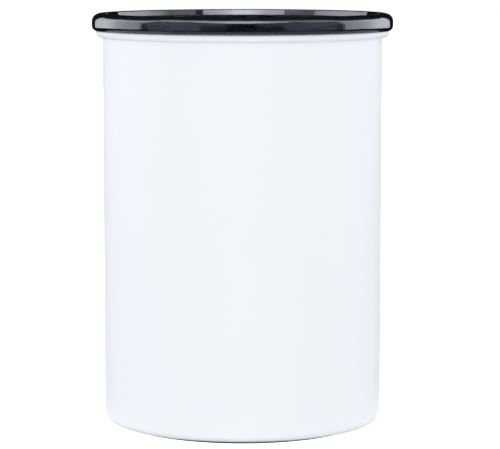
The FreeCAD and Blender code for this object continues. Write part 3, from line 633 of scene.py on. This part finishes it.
panel_reach = lid_recess - LID_ROOT
panel_level = lid_panel - PANEL_DEPTH
lid_x, lid_y, lid_z = place_axes(smoke_tree)
lid_reach_squared = square_of_reach(smoke_tree, lid_x, lid_y)
inside_bevel = add_math(smoke_tree, "LESS_THAN", lid_reach_squared, (panel_reach * MM) ** 2)
above_panel = add_math(smoke_tree, "GREATER_THAN", lid_z, panel_level * MM)
on_panel = add_math(smoke_tree, "MULTIPLY", inside_bevel, above_panel)
lid_roughness = add_math(
    smoke_tree, "MULTIPLY_ADD", on_panel, PANEL_ROUGHNESS, smoke_grain.outputs["Roughness"]
)
smoke_tree.links.new(lid_roughness, smoke_shader.inputs["Roughness"])
coat_weight = add_math(smoke_tree, "SUBTRACT", 1.0, on_panel)
smoke_tree.links.new(coat_weight, smoke_shader.inputs["Coat Weight"])
smoke_shader.inputs["Coat IOR"].default_value = COAT_IOR
smoke_shader.inputs["Coat Roughness"].default_value = COAT_ROUGHNESS
print("radius of the softer panel in mm:", round(panel_reach, 1))

# %% [markdown]
# ## Seal and valve disc
# The plunger's silicone ring has two lips that sweep up towards the wall of the can. Silicone is moulded
# without sharp edges, so tips and roots get small rounds. Both lips have the same section, so a loop adds
# their corners at two levels.

# %% Lip seal
SEAL_GROOVE_DEPTH = 6.6
SEAL_BASE = 4.0
SEAL_FIT = 0.1
LIP_ROOT_LEVELS = (1.2, 5.4)
LIP_SWEEP = 1.5
LIP_TIP = 0.7
LIP_ROOT = 1.7
TIP_ROUND = 0.3
ROOT_ROUND = 0.6

seal_low, seal_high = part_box("wiper_seal")
seal_tip = seal_high.x / MM
seal_bottom = seal_low.z / MM
seal_top = seal_high.z / MM
dish_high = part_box("plunger_dish")[1]
seal_inner = dish_high.x / MM - SEAL_GROOVE_DEPTH + SEAL_FIT
seal_face = seal_inner + SEAL_BASE
seal_corners = [(seal_inner, seal_bottom), (seal_face, seal_bottom, TIP_ROUND)]
for level in LIP_ROOT_LEVELS:
    root = seal_bottom + level
    seal_corners.append((seal_face, root, ROOT_ROUND))
    seal_corners.append((seal_tip, root + LIP_SWEEP, TIP_ROUND))
    seal_corners.append((seal_tip, root + LIP_SWEEP + LIP_TIP, TIP_ROUND))
    seal_corners.append((seal_face, root + LIP_ROOT, ROOT_ROUND))
seal_corners += [(seal_face, seal_top, TIP_ROUND), (seal_inner, seal_top)]
lip_seal = turned("lip_seal", [seal_corners], [grey_silicone])
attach(lip_seal, "plunger")
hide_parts("wiper_seal")

# %% [markdown]
# The disc that closes the vents is made of the same silicone. It is a washer with rounded outer edges that
# sits on the pin of the valve stem.

# %% Sealing disc
PIN_RADIUS = 1.6
DISC_ROUND = 0.5

disc_low, disc_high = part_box("valve_disc")
sealing_disc = turned("sealing_disc", [[
    (PIN_RADIUS, disc_low.z / MM),
    (disc_high.x / MM, disc_low.z / MM, DISC_ROUND),
    (disc_high.x / MM, disc_high.z / MM, DISC_ROUND),
    (PIN_RADIUS, disc_high.z / MM),
]], [grey_silicone])
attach(sealing_disc, "valve")
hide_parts("valve_disc")

# %% [markdown]
# ## The valve spring
# A coil of steel wire stands in the pocket of the valve housing and pushes the stem's head up. It is a
# round section carried along a helix whose two ends lie flatter, as wound springs have them. When the
# valve opens, the real coil gets shorter towards its fixed lower end; this mesh keeps its length and moves
# with the plunger.

# %% Path of the wire
SPRING_WIRE = 0.7
SPRING_TURNS = 4
FLAT_END_SHARE = 0.14
FLATTENING_SHARE = 0.5

spring_low, spring_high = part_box("valve_spring")
coil_radius = spring_high.x / MM - SPRING_WIRE / 2
coil_bottom = spring_low.z / MM + SPRING_WIRE / 2
coil_height = spring_high.z / MM - SPRING_WIRE / 2 - coil_bottom


def coil_point(share):
    """Middle of the wire at a share of its length, in mm."""
    angle = FULL_TURN * SPRING_TURNS * share
    steep_climb = (share - FLAT_END_SHARE / 2) / (1 - FLAT_END_SHARE)
    steep_climb = min(max(steep_climb, 0), 1)
    climb = FLATTENING_SHARE * steep_climb + (1 - FLATTENING_SHARE) * share
    height = coil_bottom + coil_height * climb
    return Vector((coil_radius * math.cos(angle), coil_radius * math.sin(angle), height))


print("coil radius and height in mm:", round(coil_radius, 2), round(coil_height, 2))

# %% Coil spring
STEPS_PER_TURN = 48
WIRE_STEPS = 14
UPWARD = Vector((0, 0, 1))

spring_mesh = bmesh.new()
wire_rings = []
last_step = SPRING_TURNS * STEPS_PER_TURN
for step in range(last_step + 1):
    middle = coil_point(step / last_step)
    outward = Vector((middle.x, middle.y, 0)).normalized()
    ring = []
    for side in range(WIRE_STEPS):
        angle = FULL_TURN * side / WIRE_STEPS
        offset = outward * math.cos(angle) + UPWARD * math.sin(angle)
        ring.append(spring_mesh.verts.new((middle + offset * (SPRING_WIRE / 2)) * MM))
    wire_rings.append(ring)
for ring, following in zip(wire_rings, wire_rings[1:]):
    join_rows(spring_mesh, ring, following, closed=True)
spring_mesh.faces.new(wire_rings[0])
spring_mesh.faces.new(wire_rings[-1])
bmesh.ops.recalc_face_normals(spring_mesh, faces=spring_mesh.faces)
coil_spring = finished_piece("coil_spring", spring_mesh, [bright_steel])
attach(coil_spring, "plunger")
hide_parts("valve_spring")
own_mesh(coil_spring)

# %% [markdown]
# ## Finishes of the solids that stay
# The plunger's dish, its cover, the handle and the small parts of the valve keep their own solids, because
# their facets hardly show inside the can. Only their plain material is changed for the finish that the
# real part has.

# %% Finish the remaining solids
finish_of_node = {
    "plunger_dish": black_moulded_plastic,
    "valve_guard": black_moulded_plastic,
    "vent_cover": black_gloss_plastic,
    "handle_loop": black_gloss_plastic,
    "cover_screws": bright_steel,
    "handle_axle": bright_steel,
    "disc_washer": bright_steel,
    "stem_clip": bright_steel,
    "axle_bushes": white_acetal,
    "valve_cam": white_acetal,
    "valve_stem": white_acetal,
}
for node_name, finish in finish_of_node.items():
    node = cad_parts[node_name]
    node.data.materials.clear()
    node.data.materials.append(finish)
print("solids with a new finish:", len(finish_of_node))

# %% [markdown]
# ## Floor and light
# The picture is a cut-out on white, lit softly from all round, so the can shows almost no shading. A
# studio would use a sweep of white paper. A pale floor under a white sky gives the same with less: rays
# from the camera, and those mirrored or bent by the object, see the sky as plain white, while the light
# that falls on the object has a level of its own.

# %% White sky
SKY_LIGHT = 0.745

world = bpy.data.worlds.new("white_studio")
bpy.context.scene.world = world
world.use_nodes = True
sky_tree = world.node_tree
sky = sky_tree.nodes["Background"]
sky.inputs["Color"].default_value = (1, 1, 1, 1)


def seen_directly(tree):
    """1 for rays from the camera and for mirrored or bent rays, else 0."""
    path = tree.nodes.new("ShaderNodeLightPath").outputs
    camera_or_glossy = add_math(tree, "MAXIMUM", path["Is Camera Ray"], path["Is Glossy Ray"])
    return add_math(tree, "MAXIMUM", camera_or_glossy, path["Is Transmission Ray"])


sky_strength = add_math(sky_tree, "MULTIPLY_ADD", seen_directly(sky_tree), 1 - SKY_LIGHT, SKY_LIGHT)
sky_tree.links.new(sky_strength, sky.inputs["Strength"])
print("sky light on surfaces:", SKY_LIGHT)

# %% [markdown]
# The floor adds light of its own to what the camera sees, so it reads as white up to the can.
# Under the can it adds none, and its colour there is painted near-black as a painted contact shadow, which
# leaves the thin dark line where the foot stands. The painted shadow is moved a little towards the camera,
# because in the photograph the line shows only along the front of the foot.

# %% Floor finish
FLOOR_COLOUR = (0.62, 0.62, 0.62)
FLOOR_ROUGHNESS = 0.9
FLOOR_GLOW = 0.8
# Near-black floor colour under the can: a painted contact shadow.
PAINTED_SHADOW_COLOUR = (0.02, 0.02, 0.025)
PAINTED_SHADOW_SHIFT = 5.5
# Where the glow starts is also the edge of the painted contact shadow.
GLOW_STARTS = 53.7
GLOW_FULL = 54.1

pale_floor, floor_tree, floor_shader = new_finish("pale_floor")
floor_shader.inputs["Roughness"].default_value = FLOOR_ROUGHNESS
floor_shader.inputs["Specular IOR Level"].default_value = 0.0
floor_shader.inputs["Emission Color"].default_value = (1, 1, 1, 1)
floor_place = floor_tree.nodes.new("ShaderNodeTexCoord").outputs["Object"]
# The middle of the painted shadow is moved towards the camera.
from_painted_shadow = floor_tree.nodes.new("ShaderNodeVectorMath")
from_painted_shadow.operation = "ADD"
from_painted_shadow.inputs[1].default_value = (0, PAINTED_SHADOW_SHIFT * MM, 0)
floor_tree.links.new(floor_place, from_painted_shadow.inputs[0])
floor_reach = floor_tree.nodes.new("ShaderNodeVectorMath")
floor_reach.operation = "LENGTH"
floor_tree.links.new(from_painted_shadow.outputs[0], floor_reach.inputs[0])
glow_ramp = floor_tree.nodes.new("ShaderNodeMapRange")
glow_ramp.inputs["From Min"].default_value = GLOW_STARTS * MM
glow_ramp.inputs["From Max"].default_value = GLOW_FULL * MM
floor_tree.links.new(floor_reach.outputs["Value"], glow_ramp.inputs["Value"])
outside_painted_shadow = glow_ramp.outputs["Result"]
# The floor's colour under the can is painted near-black: a painted contact shadow.
floor_colour_with_painted_shadow = mixed_colour(floor_tree, outside_painted_shadow, PAINTED_SHADOW_COLOUR, FLOOR_COLOUR)
floor_tree.links.new(floor_colour_with_painted_shadow, floor_shader.inputs["Base Color"])
full_glow = add_math(floor_tree, "MULTIPLY", seen_directly(floor_tree), FLOOR_GLOW)
floor_glow = add_math(floor_tree, "MULTIPLY", full_glow, outside_painted_shadow)
floor_tree.links.new(floor_glow, floor_shader.inputs["Emission Strength"])
print("floor finish nodes:", len(floor_tree.nodes))

# %% Pale floor
FLOOR_RADIUS = 6.0
FLOOR_RINGS = 24
FLOOR_STEPS = 96

floor_mesh = bmesh.new()
floor_radii = [FLOOR_RADIUS * (ring / FLOOR_RINGS) ** 2 for ring in range(FLOOR_RINGS + 1)]
floor_rings = [ring_of_points(floor_mesh, radius, 0, FLOOR_STEPS) for radius in floor_radii]
for inner, outer in zip(floor_rings, floor_rings[1:]):
    join_rows(floor_mesh, outer, inner, closed=True)
bmesh.ops.remove_doubles(floor_mesh, verts=floor_mesh.verts, dist=SAME_PLACE)
floor = finished_piece("studio_floor", floor_mesh, [pale_floor])

# %% [markdown]
# Three wide lamps stand round the set: one low on each side of the camera and one behind the can. Low
# light keeps the shadow under the bead thin. The lamps are hidden from the camera and from mirrored rays,
# so the lid mirrors the cards of the next step and not the lamps.

# %% Lamps
def soft_lamp(name, place, width, height, brightness):
    """A wide area lamp aimed at the can. A brightness of 1 is as bright as the white background."""
    lamp = bpy.data.lights.new(name, "AREA")
    lamp.shape = "RECTANGLE"
    lamp.size = width
    lamp.size_y = height
    lamp.energy = brightness * math.pi * width * height
    holder = bpy.data.objects.new(name, lamp)
    holder.location = place
    to_can = Vector((0, 0, rim * MM / 2)) - holder.location
    holder.rotation_euler = to_can.to_track_quat("-Z", "Y").to_euler()
    holder.visible_camera = False
    holder.visible_glossy = False
    bpy.context.scene.collection.objects.link(holder)
    print(name, "watts:", round(lamp.energy, 1))


soft_lamp("left_lamp", place=(-1.6, -1.15, 0.17), width=1.6, height=0.34, brightness=8.7)
soft_lamp("right_lamp", place=(1.6, -1.15, 0.17), width=1.6, height=0.34, brightness=8.2)
soft_lamp("back_lamp", place=(0.1, 2.2, 0.45), width=2.4, height=1.2, brightness=2.5)

# %% [markdown]
# ## Studio cards
# A glossy dark lid is mostly a mirror of the studio. As in a photo studio, cards stand round the set, out
# of the picture: white ones draw the long highlights, dim ones the grey steps between them, and black ones
# give the lid its dark front and its dark outlines. More lamps could draw highlights too, but they would
# change the light on the can. Only mirrored rays see the cards, and only on their first bounce, so the
# cards neither light the can nor shade it, and the bore doesn't mirror them again and again.

# %% Card finish
CARD_COLOUR = (0.01, 0.01, 0.011, 1)
DIM_CARD_LIGHT = (0.62, 0.77, 1.0)
BRIGHT_CARD_LIGHT = (0.86, 0.90, 1.0)
AFTER_FIRST_BOUNCE = 1.5

card_finish, card_tree, card_shader = new_finish("studio_card")
card_shader.inputs["Base Color"].default_value = CARD_COLOUR
card_shader.inputs["Roughness"].default_value = 1.0
card_shader.inputs["Specular IOR Level"].default_value = 0.0
card_attribute = card_tree.nodes.new("ShaderNodeAttribute")
card_attribute.attribute_name = "glow"
card_glow = card_attribute.outputs["Fac"]
card_tree.links.new(card_glow, card_shader.inputs["Emission Strength"])
card_light = mixed_colour(card_tree, card_glow, DIM_CARD_LIGHT, BRIGHT_CARD_LIGHT)
card_tree.links.new(card_light, card_shader.inputs["Emission Color"])
ray_depth = card_tree.nodes.new("ShaderNodeLightPath").outputs["Ray Depth"]
first_bounce = add_math(card_tree, "LESS_THAN", ray_depth, AFTER_FIRST_BOUNCE)
card_tree.links.new(first_bounce, card_shader.inputs["Alpha"])
print("card finish nodes:", len(card_tree.nodes))

# %% [markdown]
# A card is a strip of rungs with a glow at each rung. Standing cards curve round the can. They are written
# in columns: degrees from the camera's side, the lowest and highest angle as the lid sees them, and the
# glow. The card runs evenly from column to column, so a highlight can fade along its length. Level cards
# are parts of a flat ring.

# %% Card helpers
def outward_at(degrees):
    """Level direction at an angle from the camera's side."""
    angle = math.radians(degrees)
    return Vector((math.sin(angle), -math.cos(angle), 0))


def studio_card(name, rungs):
    """A card from rungs, each with its two ends and its glow. Only mirrored rays see it."""
    mesh = bmesh.new()
    glow = mesh.verts.layers.float.new("glow")
    rows = []
    for first_end, second_end, brightness in rungs:
        row = [mesh.verts.new(first_end), mesh.verts.new(second_end)]
        for point in row:
            point[glow] = brightness
        rows.append(row)
    for row, following in zip(rows, rows[1:]):
        join_rows(mesh, row, following, closed=False)
    card = finished_piece(name, mesh, [card_finish])
    card.visible_camera = False
    card.visible_diffuse = False
    card.visible_transmission = False
    card.visible_shadow = False


print("camera's side as the cards see it:", [round(side, 1) for side in outward_at(0)])

# %% Standing and level cards
CARD_STEPS = 24


def standing_card(name, distance, columns):
    """A card that curves round the can at a distance, through columns of degrees, lowest and highest angle
    and glow."""
    rungs = []
    for index, (here, following) in enumerate(zip(columns, columns[1:])):
        is_last = index == len(columns) - 2
        for step in range(CARD_STEPS + 1 if is_last else CARD_STEPS):
            share = step / CARD_STEPS
            degrees, low, high, brightness = [a + (b - a) * share for a, b in zip(here, following)]
            foot = outward_at(degrees) * distance
            heights = [max(rim * MM + distance * math.tan(math.radians(tilt)), 0) for tilt in (low, high)]
            ends = [(foot.x, foot.y, height) for height in heights]
            rungs.append((*ends, brightness))
    studio_card(name, rungs)


def even_columns(low, high, glows):
    """Columns with the same lowest and highest angle, from pairs of degrees and glow."""
    return [(degrees, low, high, glow) for degrees, glow in glows]


def level_card(name, middle, first_degrees, last_degrees, inner, outer, brightness):
    """A card that lies level: part of a ring round a middle point, between two angles."""
    rungs = []
    for step in range(CARD_STEPS + 1):
        outward = outward_at(first_degrees + (last_degrees - first_degrees) * step / CARD_STEPS)
        ends = [Vector(middle) + outward * reach for reach in (inner, outer)]
        rungs.append((*ends, brightness))
    studio_card(name, rungs)


print("rungs from column to column:", CARD_STEPS)

# %% [markdown]
# The far edge of the lid mirrors what stands high before the camera and at its sides, so the white cards
# there draw the row of light patches along it. The crown of the near edge mirrors the highest card as one
# thin line. The two ends of the lid mirror the low cards at the sides. The sides differ a little, as in
# the photograph.

# %% White and dim cards
standing_card("front_highlight", distance=1.15, columns=even_columns(low=43, high=53, glows=[
    (-48, 0), (-46, 2.5), (-25, 3), (-13, 4.4), (0, 5), (11, 4.5), (23, 3.1), (36, 2.8), (43.5, 2.2),
    (45, 0),
]))
standing_card("front_line", distance=1.2, columns=even_columns(low=28, high=40, glows=[
    (-30, 0.2), (-25, 0.9), (0, 2), (25, 0.5), (30, 0.2),
]))
standing_card("top_highlight", distance=1.05, columns=[
    (-92, 43, 57, 0), (-88, 44, 58, 2.1), (-71, 48, 63, 2.1), (-41, 56, 71, 1.8), (0, 60, 76, 1.9),
    (41, 57, 68, 1.15), (71, 48, 58, 1.1), (88, 43, 51, 1.1), (92, 42, 50, 0),
])
standing_card("right_gap", distance=1.12, columns=[(45, 38, 56, 0.2), (52, 36, 56, 0.2)])
standing_card("right_dim", distance=1.12, columns=[(52, 36, 52, 0.83), (76, 32, 50, 0.83)])
standing_card("left_dim", distance=1.12, columns=[
    (-80, 31, 50, 0.62), (-71, 33, 50, 0.62), (-62, 34, 51, 0.75), (-48, 36, 52, 0.87),
])
standing_card("right_upper_highlight", distance=1.1, columns=[
    (76, 31, 44, 0.75), (82, 29, 42, 0.8), (91, 27, 39, 1.4), (111, 21, 32, 1.95),
    (131, 14, 23.5, 1.7), (146, 7, 19, 1.15), (148, 7, 19, 0),
])
standing_card("left_upper_highlight", distance=1.1, columns=[
    (-79, 30, 43, 0.65), (-82, 29, 42, 1.8), (-95, 26, 38, 2.0), (-120, 18, 28, 1.87),
    (-140, 10, 21, 1.08), (-146, 7, 19, 1.0), (-148, 7, 19, 0),
])
side_columns = [
    (80, -9, 40, 0), (82, -9, 40, 1.35), (106, -9, 34, 1.6), (121, -9, 29, 1.95), (140, -9, 18, 1.15),
    (147, -9, 14, 0.85),
]
mirrored_columns = [(-degrees, low, high, glow) for degrees, low, high, glow in side_columns]
standing_card("left_highlight", distance=1.2, columns=mirrored_columns)
standing_card("right_highlight", distance=1.2, columns=side_columns)

# %% [markdown]
# Dark cards stand before and behind the can, and lie on the floor and overhead. Before the can they are a
# little lighter at the sides than in the middle, which gives the lid's front its dark middle. The ones on
# the floor keep the white floor out of the lid's lower edge.

# %% Dark cards
FLOOR_CARD_LIFT = MM
CEILING_HEIGHT = 1.0

standing_card("front_dim", distance=1.5, columns=even_columns(low=2, high=42, glows=[
    (-80, 0.37), (-14, 0.33), (-10, 0), (9, 0), (13, 0.22), (45, 0.29), (60, 0.33), (80, 0.33),
]))
standing_card("front_dark", distance=1.5, columns=even_columns(low=-9, high=2, glows=[
    (-80, 0.12), (-14, 0.11), (-10, 0), (9, 0), (13, 0.07), (45, 0.07), (80, 0.12),
]))
standing_card("back_dark", distance=1.0, columns=[
    (147, 22, 50, 0), (148, -10, 50, 0), (212, -10, 50, 0), (213, 22, 50, 0),
])
floor_middle = (0, 0, FLOOR_CARD_LIFT)
level_card("floor_dark", floor_middle, 0, 360, inner=0.4, outer=1.4, brightness=0)
level_card("floor_back_dark", floor_middle, 148, 212, inner=0.08, outer=0.4, brightness=0)
level_card("floor_front_dim", floor_middle, -60, 85, inner=0.075, outer=0.4, brightness=0.3)
level_card("floor_left_dim", floor_middle, -148, -60, inner=0.075, outer=0.4, brightness=0.5)
level_card("floor_right_dim", floor_middle, 85, 148, inner=0.075, outer=0.4, brightness=0.4)
ceiling = rim * MM + CEILING_HEIGHT
level_card("ceiling_dark", (0, 0.6, ceiling), 0, 360, inner=0.001, outer=0.89, brightness=0.05)
level_card("ceiling_back_dark", (0, 0, ceiling), 97, 263, inner=0.6, outer=2.6, brightness=0.05)
